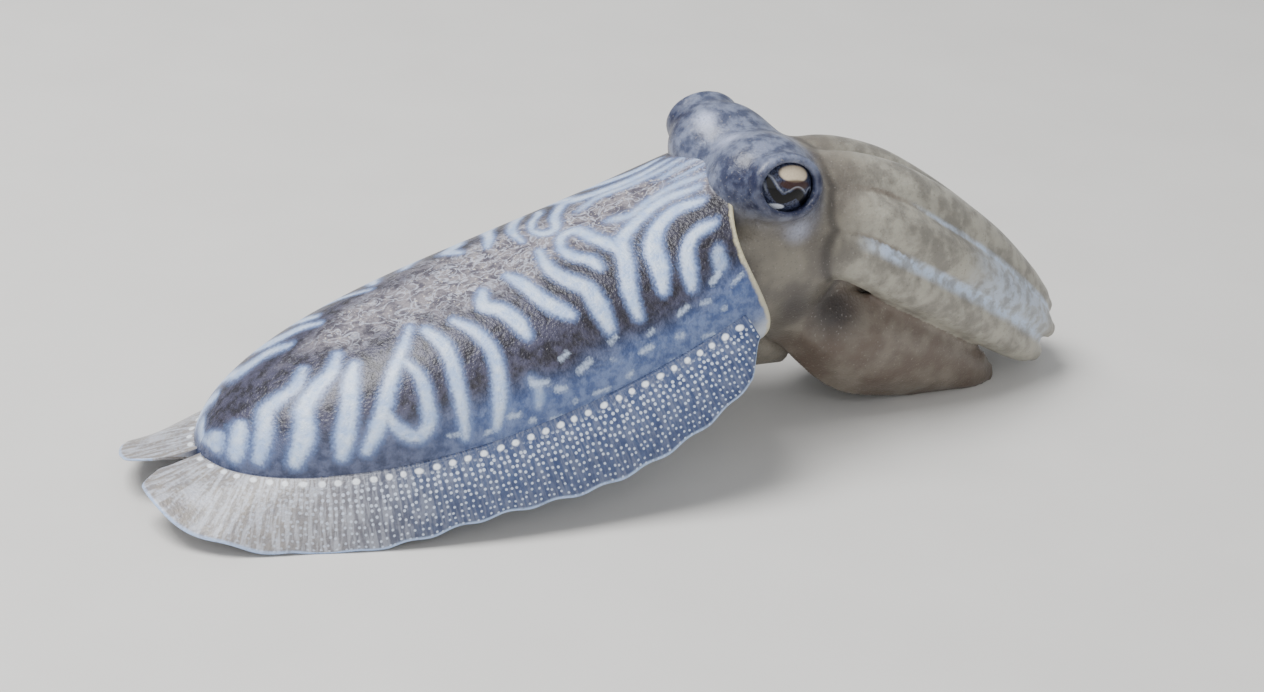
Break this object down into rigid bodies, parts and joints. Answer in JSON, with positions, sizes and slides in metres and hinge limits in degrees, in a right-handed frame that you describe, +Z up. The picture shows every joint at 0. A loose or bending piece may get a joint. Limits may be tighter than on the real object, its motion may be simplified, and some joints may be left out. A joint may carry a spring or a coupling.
{
  "type": "common cuttlefish",
  "caption": "Life-size still model of a common cuttlefish resting on the floor, head raised, arms held together and reaching down in front.",
  "frame": {"origin": "middle of the floor that the whole animal covers", "axes": "+X from the tail towards the arms, +Y to the animal's left, +Z up"},
  "size_m": [0.2034, 0.0724, 0.0644],
  "materials": {
    "mantle_skin": "wet, smooth skin with pale wavy bands",
    "fin_skin": "wet, thin skin with white dots",
    "head_skin": "wet, smooth skin",
    "arm_skin": "wet, smooth skin",
    "eye": "glossy"
  },
  "bodies": {
    "root": {"mantle": "mantle_skin", "fin_right": "fin_skin", "fin_left": "fin_skin", "head": "head_skin", "funnel": "head_skin", "eye_right": "eye", "eye_left": "eye", "arm_1_right_base": "arm_skin", "arm_1_right_tip": "arm_skin", "arm_1_left_base": "arm_skin", "arm_1_left_tip": "arm_skin", "arm_2_right_base": "arm_skin", "arm_2_right_tip": "arm_skin", "arm_2_left_base": "arm_skin", "arm_2_left_tip": "arm_skin", "arm_3_right_base": "arm_skin", "arm_3_right_tip": "arm_skin", "arm_3_left_base": "arm_skin", "arm_3_left_tip": "arm_skin", "arm_4_right_base": "arm_skin", "arm_4_right_tip": "arm_skin", "arm_4_left_base": "arm_skin", "arm_4_left_tip": "arm_skin"}
  },
  "joints": []
}
